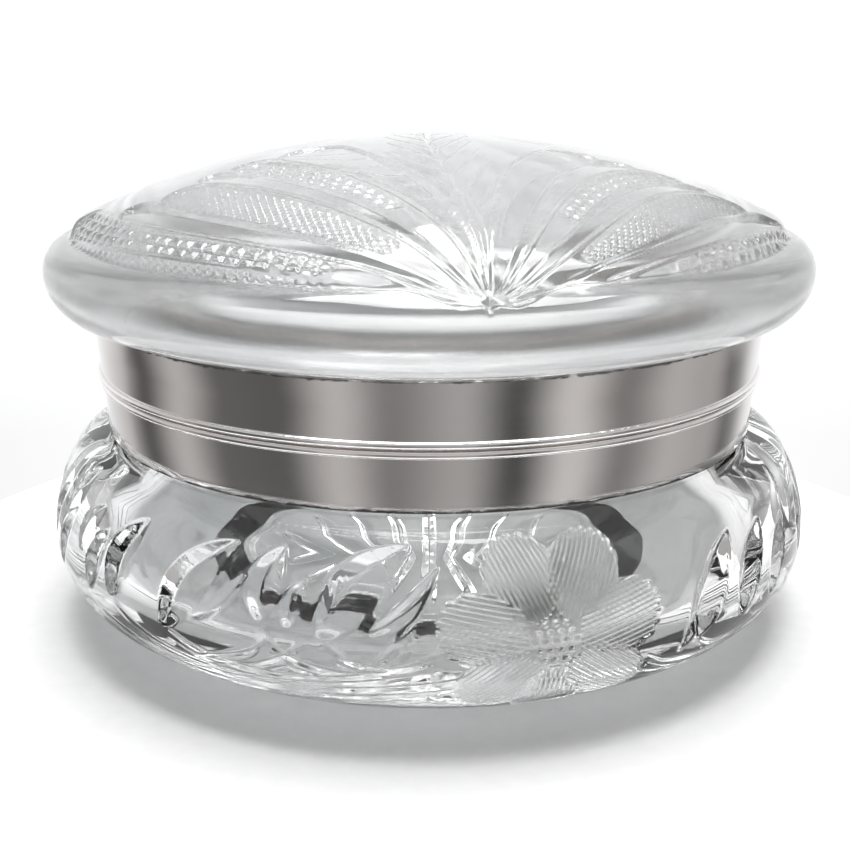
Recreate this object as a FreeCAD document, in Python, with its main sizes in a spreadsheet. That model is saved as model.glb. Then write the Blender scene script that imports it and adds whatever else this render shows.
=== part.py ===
import FreeCAD, Part

import os
import re

import Sketcher

# A hinged powder jar: a squat cut-glass bowl and a domed glass lid, each cemented into a
# silver-plated band, with a five-knuckle hinge at the back.  Millimetres, +Z up, front
# towards -Y, origin at the middle of the foot.

SIZES = {
    # The seam is the plane where the two bands meet.  It also holds the hinge axis.
    "seam_level": 45.7,
    "seam_half_gap": 0.15,
    # Glass bowl, outside.
    "foot_radius": 43.5,
    "foot_ring_width": 7.5,
    "foot_recess": 1.0,
    "belly_radius": 70.2,
    "belly_level": 17.4,
    "belly_lower_round": 13.0,
    "shoulder_radius": 58.9,
    "shoulder_level": 35.3,
    "shoulder_round": 8.5,
    "neck_radius": 57.5,
    "neck_top_drop": 1.4,
    # Glass bowl, inside.
    "mouth_radius": 54.0,
    "mouth_flare_level": 33.5,
    "cavity_radius": 62.8,
    "cavity_level": 19.0,
    "cavity_upper_round": 6.5,
    "cavity_lower_round": 8.0,
    "cavity_floor_radius": 36.0,
    "cavity_floor_level": 8.5,
    # Bands: spun sheet metal.
    "band_wall": 0.8,
    "lower_band_height": 10.1,
    "upper_band_height": 10.7,
    "lower_band_radius": 60.0,
    "lower_band_taper": 0.5,
    "upper_band_radius": 60.4,
    "upper_band_flare": 0.8,
    "band_straight": 1.6,
    "inner_lip_radius": 53.0,
    "inner_lip_depth": 4.0,
    "cement_film": 0.3,
    # Half-round wires that stiffen the two edges at the seam.
    "wire_height": 1.3,
    "wire_bulge": 0.55,
    # Bezel: the lip that the lid's band closes over.
    "bezel_radius": 59.3,
    "bezel_wall": 0.7,
    "bezel_height": 3.0,
    # Lid band's shelf, which carries the cement under the lid's skirt.
    "shelf_radius": 54.4,
    "shelf_rise": 3.4,
    "shelf_wall": 0.6,
    # Glass lid.
    "skirt_bore": 54.6,
    "skirt_rise": 4.6,
    "rim_centre_radius": 60.4,
    "rim_round": 8.6,
    "rim_rise": 10.9,
    "lid_rise": 41.0,
    "ceiling_rise": 32.5,
    "ceiling_edge_radius": 47.0,
    "ceiling_edge_rise": 25.5,
    "ceiling_corner_rise": 17.0,
    "ceiling_corner_arc": 8.6,
    # Hinge.
    "hinge_axis_radius": 63.4,
    "knuckle_radius": 2.3,
    "knuckle_length": 5.6,
    "knuckle_gap": 0.15,
    "pin_radius": 1.0,
    "pin_running_gap": 0.05,
    "pin_head_radius": 1.5,
    "pin_head_length": 0.7,
    "leaf_width": 31.0,
    "leaf_height": 9.0,
    "leaf_clearance": 0.15,
    "leaf_reach": 3.7,
    "leaf_stop_angle": 51.0,
    "leaf_waist_drop": 6.0,
    "leaf_waist_reach": 0.7,
    "leaf_toe": 1.2,
    "wire_notch_width": 32.0,
}

KNUCKLE_COUNT = 5

doc = FreeCAD.newDocument("PowderJar")
sheet = doc.addObject("Spreadsheet::Sheet", "Sizes")
for row, (alias, size) in enumerate(SIZES.items(), start=1):
    sheet.set(f"A{row}", alias)
    sheet.set(f"B{row}", str(size))
    sheet.setAlias(f"B{row}", alias)
doc.recompute()

sub_parts = []


def bound(formula):
    """The formula with each size name pointed at its cell in the sheet."""
    def cell(word):
        name = word.group()
        return f"Sizes.{name}" if name in SIZES else name
    return re.sub(r"[a-z_]+", cell, formula)


def value(formula):
    """What the formula comes to, in millimetres or degrees."""
    result = sheet.evalExpression(bound(formula))
    return float(getattr(result, "Value", result))


def origin_item(body, role):
    return next(item for item in body.Origin.OriginFeatures if item.Role == role)


def sketch_on(body, role, name):
    sketch = body.newObject("Sketcher::SketchObject", name)
    sketch.AttachmentSupport = [(origin_item(body, role), "")]
    sketch.MapMode = "FlatFace"
    return sketch


def hold(sketch, kind, geometry, point, formula):
    """Fix one coordinate of a point, with the formula that drives it."""
    size = value(formula)
    axis = -2 if kind == "DistanceX" else -1
    if abs(size) < 1e-9:
        sketch.addConstraint(Sketcher.Constraint("PointOnObject", geometry, point, axis))
        return
    index = sketch.addConstraint(Sketcher.Constraint(kind, -1, 1, geometry, point, size))
    sketch.setExpression(f"Constraints[{index}]", bound(formula))


def arc_middle(start, end, radius):
    """The middle of the short arc between two points; a positive radius bulges to the right."""
    chord = end - start
    half = chord.Length / 2
    height = abs(radius) - max(radius * radius - half * half, 0.0) ** 0.5
    side = FreeCAD.Vector(chord.y, -chord.x, 0).normalize()
    return (start + end) * 0.5 + side * (height if radius > 0 else -height)


def outline(sketch, corners):
    """A closed outline.  A corner is (x, y), or (x, y, radius) where an arc leads to the next."""
    points = [FreeCAD.Vector(value(corner[0]), value(corner[1]), 0) for corner in corners]
    starts = []
    for index, corner in enumerate(corners):
        ends = [points[index], points[(index + 1) % len(corners)]]
        radius = value(corner[2]) if len(corner) == 3 else 0.0
        if radius == 0.0:
            sketch.addGeometry(Part.LineSegment(*ends), False)
        else:
            middle = arc_middle(*ends, radius)
            # A sketch keeps its arcs counter-clockwise, so one that bulges left runs backwards.
            first, last = ends if radius > 0 else reversed(ends)
            sketch.addGeometry(Part.Arc(first, middle, last), False)
        starts.append(1 if radius >= 0 else 2)
    for index, corner in enumerate(corners):
        following = (index + 1) % len(corners)
        sketch.addConstraint(
            Sketcher.Constraint("Coincident", index, 3 - starts[index], following, starts[following])
        )
        hold(sketch, "DistanceX", index, starts[index], corner[0])
        hold(sketch, "DistanceY", index, starts[index], corner[1])
        if len(corner) == 3:
            number = sketch.addConstraint(
                Sketcher.Constraint("Radius", index, abs(value(corner[2])))
            )
            sketch.setExpression(f"Constraints[{number}]", bound(f"abs({corner[2]})"))


def turned(label, corners):
    """A ring or vessel turned about the jar's axis from an outline in radius and height."""
    body = doc.addObject("PartDesign::Body", label)
    body.Label = label
    sketch = sketch_on(body, "XZ_Plane", f"{label}_outline")
    outline(sketch, corners)
    revolution = body.newObject("PartDesign::Revolution", f"{label}_turning")
    revolution.Profile = sketch
    revolution.ReferenceAxis = (sketch, ["V_Axis"])
    revolution.Angle = 360
    sketch.Visibility = False
    sub_parts.append(body)
    return body


def oval_below(middle, level, reach, rise, tight):
    """Foot end to side of an oval, rounded tightest at its side: its two arcs' corners."""
    large = f"((({reach} - {tight}) ^ 2 + ({rise}) ^ 2 - ({tight}) ^ 2) / (2 * ({rise} - {tight})))"
    share = f"({large} / ({large} - {tight}))"
    return [
        (f"{middle}", f"{level} - {rise}", large),
        (f"{middle} + ({reach} - {tight}) * {share}",
         f"{level} - {rise} + {large} + ({rise} - {large}) * {share}", tight),
    ]


def oval_above(middle, level, reach, rise, tight):
    """Side to top end of an oval, rounded tightest at its top: its two arcs' corners."""
    large = f"((({rise} - {tight}) ^ 2 + ({reach}) ^ 2 - ({tight}) ^ 2) / (2 * ({reach} - {tight})))"
    share = f"({large} / ({large} - {tight}))"
    return [
        (f"{middle} + {reach}", f"{level}", large),
        (f"{middle} + {reach} - {large} + ({large} - {reach}) * {share}",
         f"{level} + ({rise} - {tight}) * {share}", tight),
    ]


def reversed_arcs(corners):
    """The same stretch walked the other way, ready for an inside wall."""
    points = [corner[:2] for corner in corners]
    radii = [f"-({corner[2]})" for corner in corners if len(corner) == 3]
    return points, radii


# --- Glass bowl ---------------------------------------------------------------------------

NECK_TOP = "seam_level - neck_top_drop"
outer_lower = oval_below(
    "foot_radius", "belly_level", "(belly_radius - foot_radius)", "belly_level", "belly_lower_round"
)
outer_upper = oval_above(
    "shoulder_radius", "belly_level", "(belly_radius - shoulder_radius)",
    "(shoulder_level - belly_level)", "shoulder_round"
)
inner_lower = oval_below(
    "cavity_floor_radius", "cavity_level", "(cavity_radius - cavity_floor_radius)",
    "(cavity_level - cavity_floor_level)", "cavity_lower_round"
)
inner_upper = oval_above(
    "mouth_radius", "cavity_level", "(cavity_radius - mouth_radius)",
    "(mouth_flare_level - cavity_level)", "cavity_upper_round"
)
(floor_end, floor_joint), (floor_large, floor_tight) = reversed_arcs(inner_lower)
(side_end, side_joint), (side_large, side_tight) = reversed_arcs(inner_upper)
turned("glass_bowl", [
    ("0", "foot_recess"),
    ("foot_radius - foot_ring_width - foot_recess", "foot_recess"),
    ("foot_radius - foot_ring_width", "0"),
    *outer_lower,
    *outer_upper,
    ("shoulder_radius", "shoulder_level"),
    ("neck_radius", "shoulder_level"),
    ("neck_radius", NECK_TOP),
    ("mouth_radius", NECK_TOP),
    ("mouth_radius", "mouth_flare_level", side_tight),
    (*side_joint, side_large),
    (*side_end, floor_tight),
    (*floor_joint, floor_large),
    floor_end,
    ("0", "cavity_floor_level"),
])

# --- Lower band ---------------------------------------------------------------------------

LOWER_TOP = "seam_level - seam_half_gap"
LOWER_EDGE = "seam_level - lower_band_height"
LOWER_BEND = "seam_level - band_straight"
turned("lower_band", [
    ("lower_band_radius - lower_band_taper - band_wall", LOWER_EDGE),
    ("lower_band_radius - lower_band_taper", LOWER_EDGE),
    ("lower_band_radius", LOWER_BEND),
    ("lower_band_radius", LOWER_TOP),
    ("inner_lip_radius", LOWER_TOP),
    ("inner_lip_radius", "seam_level - inner_lip_depth"),
    ("inner_lip_radius + band_wall", "seam_level - inner_lip_depth"),
    ("inner_lip_radius + band_wall", f"{LOWER_TOP} - band_wall"),
    ("lower_band_radius - band_wall", f"{LOWER_TOP} - band_wall"),
    ("lower_band_radius - band_wall", LOWER_BEND),
])
turned("lower_cement", [
    ("neck_radius", f"{LOWER_EDGE} + cement_film"),
    ("lower_band_radius - lower_band_taper - band_wall", f"{LOWER_EDGE} + cement_film"),
    ("lower_band_radius - band_wall", LOWER_BEND),
    ("lower_band_radius - band_wall", f"{LOWER_TOP} - band_wall"),
    ("mouth_radius", f"{LOWER_TOP} - band_wall"),
    ("mouth_radius", NECK_TOP),
    ("neck_radius", NECK_TOP),
])
turned("bezel_ring", [
    ("bezel_radius - bezel_wall", LOWER_TOP),
    ("bezel_radius", LOWER_TOP),
    ("bezel_radius", "seam_level + bezel_height"),
    ("bezel_radius - bezel_wall", "seam_level + bezel_height"),
])

# --- Upper band ---------------------------------------------------------------------------

UPPER_FOOT = "seam_level + seam_half_gap"
UPPER_BEND = "seam_level + band_straight"
UPPER_TOP = "seam_level + upper_band_height"
SHELF_TOP = "seam_level + shelf_rise + shelf_wall"
SHELF_SHARE = "(shelf_rise + shelf_wall - band_straight) / (upper_band_height - band_straight)"
UPPER_BORE = "upper_band_radius - band_wall"
turned("upper_band", [
    (UPPER_BORE, UPPER_FOOT),
    ("upper_band_radius", UPPER_FOOT),
    ("upper_band_radius", UPPER_BEND),
    ("upper_band_radius + upper_band_flare", UPPER_TOP),
    (f"{UPPER_BORE} + upper_band_flare", UPPER_TOP),
    (f"{UPPER_BORE} + upper_band_flare * {SHELF_SHARE}", SHELF_TOP),
    ("shelf_radius", SHELF_TOP),
    ("shelf_radius", "seam_level + shelf_rise"),
    (UPPER_BORE, "seam_level + shelf_rise"),
])
turned("upper_cement", [
    ("skirt_bore", SHELF_TOP),
    (f"{UPPER_BORE} + upper_band_flare * {SHELF_SHARE}", SHELF_TOP),
    (f"{UPPER_BORE} + upper_band_flare", UPPER_TOP),
    ("neck_radius", UPPER_TOP),
    ("neck_radius", "seam_level + skirt_rise"),
    ("skirt_bore", "seam_level + skirt_rise"),
])

# --- Glass lid ----------------------------------------------------------------------------

RIM_FOOT = "seam_level + rim_rise"
DOME_RISE = "(lid_rise - rim_rise - 2 * rim_round)"
CEILING_RISE = "(ceiling_rise - ceiling_edge_rise)"


def cap_radius(reach, rise):
    """The sphere whose cap has this reach from the axis and this rise."""
    return f"(({reach} ^ 2 + {rise} ^ 2) / (2 * {rise}))"


turned("glass_lid", [
    ("skirt_bore", "seam_level + skirt_rise"),
    ("neck_radius", "seam_level + skirt_rise"),
    ("neck_radius", RIM_FOOT),
    ("rim_centre_radius", RIM_FOOT, "rim_round"),
    ("rim_centre_radius + rim_round", f"{RIM_FOOT} + rim_round", "rim_round"),
    ("rim_centre_radius", f"{RIM_FOOT} + 2 * rim_round", cap_radius("rim_centre_radius", DOME_RISE)),
    ("0", "seam_level + lid_rise"),
    ("0", "seam_level + ceiling_rise", f"-{cap_radius('ceiling_edge_radius', CEILING_RISE)}"),
    ("ceiling_edge_radius", "seam_level + ceiling_edge_rise", "-ceiling_corner_arc"),
    ("skirt_bore", "seam_level + ceiling_corner_rise"),
])


# --- Edge wires, notched for the hinge -------------------------------------------------------

def box(name, sizes, corner):
    block = doc.addObject("Part::Box", name)
    for side, formula in zip(("Length", "Width", "Height"), sizes):
        block.setExpression(side, bound(formula))
    for axis, formula in zip("xyz", corner):
        block.setExpression(f".Placement.Base.{axis}", bound(formula))
    block.Visibility = False
    return block


def cut(label, base, tools):
    """The base less each tool in turn; the last cut is the sub-part."""
    result = base
    for number, tool in enumerate(tools, start=1):
        last = number == len(tools)
        step = doc.addObject("Part::Cut", label if last else f"{label}_cut_{number}")
        step.Base = result
        step.Tool = tool
        result = step
    result.Label = label
    sub_parts.append(result)
    return result


def edge_wire(label, wall, foot):
    """A half-round wire on the outside of a band, open where the hinge leaf lies."""
    ring = turned(f"{label}_ring", [
        (wall, foot, "(wire_height ^ 2 / 4 + wire_bulge ^ 2) / (2 * wire_bulge)"),
        (wall, f"{foot} + wire_height"),
    ])
    sub_parts.remove(ring)
    notch = box(
        f"{label}_notch",
        ("wire_notch_width", "hinge_axis_radius", "wire_height * 3"),
        ("-wire_notch_width / 2", "0", f"{foot} - wire_height"),
    )
    return cut(label, ring, [notch])


edge_wire("lower_edge_wire", "lower_band_radius", f"{LOWER_TOP} - wire_height")
edge_wire("upper_edge_wire", "upper_band_radius", UPPER_FOOT)


# --- Hinge --------------------------------------------------------------------------------

KNUCKLE_PITCH = "(knuckle_length + knuckle_gap)"


def rod(name, radius, start, length):
    """A cylinder along X on the hinge axis."""
    cylinder = doc.addObject("Part::Cylinder", name)
    cylinder.setExpression("Radius", bound(radius))
    cylinder.setExpression("Height", bound(length))
    along_x = FreeCAD.Rotation(FreeCAD.Vector(0, 1, 0), 90)
    cylinder.Placement = FreeCAD.Placement(FreeCAD.Vector(), along_x)
    for axis, formula in zip("xyz", (start, "hinge_axis_radius", "seam_level")):
        cylinder.setExpression(f".Placement.Base.{axis}", bound(formula))
    cylinder.Visibility = False
    return cylinder


def knuckle_start(place):
    """Where a knuckle begins along X, counted from the middle one."""
    return f"{place} * {KNUCKLE_PITCH} - knuckle_length / 2"


def knuckle(label, place, bore):
    tube = rod(f"{label}_tube", "knuckle_radius", knuckle_start(place), "knuckle_length")
    hole = rod(f"{label}_bore", bore, f"{knuckle_start(place)} - 1", "knuckle_length + 2")
    return cut(label, tube, [hole])


def leaf(label, sign, band_radius, band_edge_radius, band_height, own_places, other_places):
    """A bearer soldered to a band: hollowed for the knuckles, with a lip that stops the lid."""
    body = doc.addObject("PartDesign::Body", f"{label}_block")
    sketch = sketch_on(body, "YZ_Plane", f"{label}_section")
    face = f"seam_level {sign} seam_half_gap"
    outline(sketch, [
        ("mouth_radius + band_wall", face),
        ("hinge_axis_radius", face),
        ("hinge_axis_radius + leaf_reach * cos(leaf_stop_angle * 1deg)",
         f"seam_level {sign} leaf_reach * sin(leaf_stop_angle * 1deg)"),
        ("hinge_axis_radius + leaf_waist_reach", f"seam_level {sign} leaf_waist_drop"),
        ("lower_band_radius + leaf_toe", f"seam_level {sign} leaf_height"),
        ("mouth_radius + band_wall", f"seam_level {sign} leaf_height"),
    ])
    pad = body.newObject("PartDesign::Pad", f"{label}_pad")
    pad.Profile = sketch
    pad.SideType = "Symmetric"
    pad.setExpression("Length", bound("leaf_width"))
    sketch.Visibility = False
    core = turned(f"{label}_core", [
        ("0", face),
        (band_radius, face),
        (band_radius, f"seam_level {sign} band_straight"),
        (band_edge_radius, f"seam_level {sign} {band_height}"),
        ("0", f"seam_level {sign} {band_height}"),
    ])
    sub_parts.remove(core)
    tools = [core]
    for place in own_places:
        name = f"{label}_seat_{place + KNUCKLE_COUNT // 2}"
        tools.append(rod(name, "knuckle_radius", knuckle_start(place), "knuckle_length"))
    for place in other_places:
        name = f"{label}_relief_{place + KNUCKLE_COUNT // 2}"
        start = f"{knuckle_start(place)} - knuckle_gap"
        tools.append(rod(name, "knuckle_radius + leaf_clearance", start, "knuckle_length + knuckle_gap * 2"))
    for name, start in (("left", "-leaf_width"), ("right", f"{knuckle_start(2)} + knuckle_length")):
        length = f"leaf_width + {knuckle_start(-2)}" if name == "left" else "leaf_width"
        tools.append(rod(f"{label}_{name}_end", "knuckle_radius + leaf_clearance", start, length))
    return cut(label, body, tools)


leaf(
    "lower_hinge_leaf", "-", "lower_band_radius", "lower_band_radius - lower_band_taper",
    "lower_band_height", (-2, 0, 2), (-1, 1),
)
leaf(
    "upper_hinge_leaf", "+", "upper_band_radius", "upper_band_radius + upper_band_flare",
    "upper_band_height", (-1, 1), (-2, 0, 2),
)
for label, place in (("left", -2), ("centre", 0), ("right", 2)):
    knuckle(f"lower_knuckle_{label}", place, "pin_radius")
for label, place in (("left", -1), ("right", 1)):
    knuckle(f"upper_knuckle_{label}", place, "pin_radius + pin_running_gap")

pin_shaft = rod("pin_shaft", "pin_radius", knuckle_start(-2), f"knuckle_length + 4 * {KNUCKLE_PITCH}")
pin_left_head = rod(
    "pin_left_head", "pin_head_radius", f"{knuckle_start(-2)} - pin_head_length", "pin_head_length"
)
pin_right_head = rod(
    "pin_right_head", "pin_head_radius", f"{knuckle_start(2)} + knuckle_length", "pin_head_length"
)
hinge_pin = doc.addObject("Part::MultiFuse", "hinge_pin")
hinge_pin.Shapes = [pin_shaft, pin_left_head, pin_right_head]
hinge_pin.Label = "hinge_pin"
sub_parts.append(hinge_pin)

# --- Check and write ----------------------------------------------------------------------

doc.recompute()
for item in doc.Objects:
    if "Invalid" in item.State or "Error" in item.State:
        raise RuntimeError(f"{item.Name} failed: {item.State}")
os.makedirs("parts", exist_ok=True)
for item in sub_parts:
    if item.Shape.isNull() or not item.Shape.isValid() or len(item.Shape.Solids) != 1:
        raise RuntimeError(f"{item.Label} has no single valid solid")
    item.Shape.exportStep(f"parts/{item.Label}.step")
    extent = item.Shape.BoundBox
    print(f"{item.Label}: {item.Shape.Volume:.1f} mm3, z {extent.ZMin:.2f} to {extent.ZMax:.2f}")
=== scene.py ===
import math

import bmesh
import bpy
import numpy as np
from mathutils import Euler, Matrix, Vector


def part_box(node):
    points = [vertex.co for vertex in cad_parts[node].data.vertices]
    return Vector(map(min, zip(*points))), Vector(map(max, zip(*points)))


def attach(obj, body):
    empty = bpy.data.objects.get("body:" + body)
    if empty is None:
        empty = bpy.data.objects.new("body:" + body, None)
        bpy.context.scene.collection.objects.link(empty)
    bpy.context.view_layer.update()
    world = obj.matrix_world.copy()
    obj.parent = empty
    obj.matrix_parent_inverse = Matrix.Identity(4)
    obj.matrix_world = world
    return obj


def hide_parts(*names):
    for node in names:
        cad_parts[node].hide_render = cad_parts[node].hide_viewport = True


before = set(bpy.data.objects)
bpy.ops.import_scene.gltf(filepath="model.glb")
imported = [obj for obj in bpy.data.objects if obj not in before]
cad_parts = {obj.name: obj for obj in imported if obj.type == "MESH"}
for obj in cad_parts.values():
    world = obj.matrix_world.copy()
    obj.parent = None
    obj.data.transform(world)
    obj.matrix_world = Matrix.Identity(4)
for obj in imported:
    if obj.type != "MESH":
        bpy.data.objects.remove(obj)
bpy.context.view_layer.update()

# A hinged cut-glass powder jar.  Shapes are worked out in millimetres with the same layout as
# the CAD frame (front towards -Y, foot on Z = 0) and written to the meshes in metres.

MM = 0.001

# --- Sizes read from the frame --------------------------------------------------------------------


def box_mm(node):
    """A node's lowest and highest corners in millimetres."""
    low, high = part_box(node)
    return np.array(low) / MM, np.array(high) / MM


bowl_high = box_mm("glass_bowl")[1]
lower_low, lower_high = box_mm("lower_band")
upper_low, upper_high = box_mm("upper_band")
lid_high = box_mm("glass_lid")[1]
# The visual pieces stay this far inside the CAD's own box.
INSET = 0.02
SEAM = (lower_high[2] + upper_low[2]) / 2
LID_TOP = lid_high[2] - INSET
RIM_RADIUS = lid_high[0] - INSET
BELLY_RADIUS = bowl_high[0] - INSET
NECK_TOP = bowl_high[2] - INSET

# --- Mesh helpers ---------------------------------------------------------------------------------


def add_mesh(name, points, quads, triangles=(), values=None):
    """A mesh object from points in millimetres, with optional named values on its points."""
    points = np.asarray(points, dtype=np.float64)
    quads = np.asarray(quads, dtype=np.int64).reshape(-1, 4)
    triangles = np.asarray(triangles, dtype=np.int64).reshape(-1, 3)
    mesh = bpy.data.meshes.new(name)
    mesh.vertices.add(len(points))
    mesh.vertices.foreach_set("co", (points * MM).astype(np.float32).ravel())
    corners = np.concatenate([quads.ravel(), triangles.ravel()]).astype(np.int32)
    counts = np.concatenate([np.full(len(quads), 4), np.full(len(triangles), 3)]).astype(np.int32)
    starts = np.concatenate([[0], np.cumsum(counts)[:-1]]).astype(np.int32)
    mesh.loops.add(len(corners))
    mesh.loops.foreach_set("vertex_index", corners)
    mesh.polygons.add(len(counts))
    mesh.polygons.foreach_set("loop_start", starts)
    mesh.update(calc_edges=True)
    mesh.polygons.foreach_set("use_smooth", np.full(len(counts), True))
    for key, data in (values or {}).items():
        layer = mesh.attributes.new(key, "FLOAT", "POINT")
        layer.data.foreach_set("value", np.asarray(data, dtype=np.float32).ravel())
    mesh.validate()
    obj = bpy.data.objects.new(name, mesh)
    bpy.context.collection.objects.link(obj)
    return obj


def grid_quads(rows, columns, closed):
    """Quads of a grid whose points run along each row; closed joins the last column to the first."""
    index = np.arange(rows * columns).reshape(rows, columns)
    if closed:
        index = np.hstack([index, index[:, :1]])
    return np.stack(
        [index[:-1, :-1], index[:-1, 1:], index[1:, 1:], index[1:, :-1]], axis=-1
    ).reshape(-1, 4)


def resample(path, step):
    """Even points along a polyline, keeping both ends."""
    path = np.asarray(path, dtype=float)
    lengths = np.hypot(*np.diff(path, axis=0).T)
    run = np.concatenate([[0], np.cumsum(lengths)])
    count = max(int(round(run[-1] / step)), 1) + 1
    marks = np.linspace(0, run[-1], count)
    return np.stack([np.interp(marks, run, path[:, k]) for k in range(2)], axis=1)


def arc(centre, radius, start, end, count=12):
    """Points along a circular arc, angles in degrees."""
    angles = np.radians(np.linspace(start, end, count))
    return np.array(centre) + radius * np.stack([np.cos(angles), np.sin(angles)], axis=1)


def rounded(corners, segments=5):
    """A closed outline with its corners rounded; a corner is (radius from axis, height, round)."""
    path = []
    count = len(corners)
    for k in range(count):
        before = np.array(corners[k - 1][:2], dtype=float)
        here = np.array(corners[k][:2], dtype=float)
        after = np.array(corners[(k + 1) % count][:2], dtype=float)
        size = corners[k][2]
        if size == 0:
            path.append(here)
            continue
        towards = (before - here) / np.linalg.norm(before - here)
        away = (after - here) / np.linalg.norm(after - here)
        for t in np.linspace(0, 1, segments):
            path.append(here + towards * size * (1 - t) ** 2 + away * size * t ** 2)
    return np.array(path)


def lathe(name, outline, sectors, wobble=None):
    """A ring turned about the jar's axis from a closed outline of (radius, height) points."""
    outline = np.asarray(outline, dtype=float)
    turn = np.linspace(0, 2 * math.pi, sectors, endpoint=False)
    radius = np.repeat(outline[:, :1], sectors, axis=1)
    height = np.repeat(outline[:, 1:], sectors, axis=1)
    if wobble is not None:
        radius = radius + wobble(turn[None, :], outline[:, 1:])
    points = np.stack([radius * np.sin(turn), -radius * np.cos(turn), height], axis=-1)
    rows = len(outline)
    last = np.arange(sectors) + (rows - 1) * sectors
    first = np.arange(sectors)
    seam = np.stack([last, np.roll(last, -1), np.roll(first, -1), first], axis=-1)
    quads = np.concatenate([grid_quads(rows, sectors, True), seam])
    return add_mesh(name, points.reshape(-1, 3), quads)


def outward(obj):
    """Turns every face outwards."""
    work = bmesh.new()
    work.from_mesh(obj.data)
    bmesh.ops.recalc_face_normals(work, faces=work.faces)
    work.to_mesh(obj.data)
    work.free()
    return obj


# --- Cutting patterns -----------------------------------------------------------------------------


def ridge(t):
    """1 at whole numbers, falling evenly to 0 half way between them."""
    return np.abs(2 * (t - np.floor(t)) - 1)


def v_cut(distance, half_width, depth):
    """Depth of a straight-sided groove."""
    return depth * np.clip(1 - np.abs(distance) / half_width, 0, 1)


def ease(t):
    """0 to 1 with a level start and end."""
    t = np.clip(t, 0, 1)
    return t * t * (3 - 2 * t)


def through(rho, near, middle, far):
    """A smooth angle along a fan line, given at 15, 40 and 70 mm from the fan's point."""
    a, b, c = 15.0, 40.0, 70.0
    return (
        near * (rho - b) * (rho - c) / ((a - b) * (a - c))
        + middle * (rho - a) * (rho - c) / ((b - a) * (b - c))
        + far * (rho - a) * (rho - b) / ((c - a) * (c - b))
    )


# The cutting is laid out flat, as a disc of this radius, and wrapped over the dome.
CUT_RADIUS = 64.1
DOME_EDGE = 62.0
DOME_SPHERE = 147.9
FAN_POINT = (8.1, -67.2)


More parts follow.
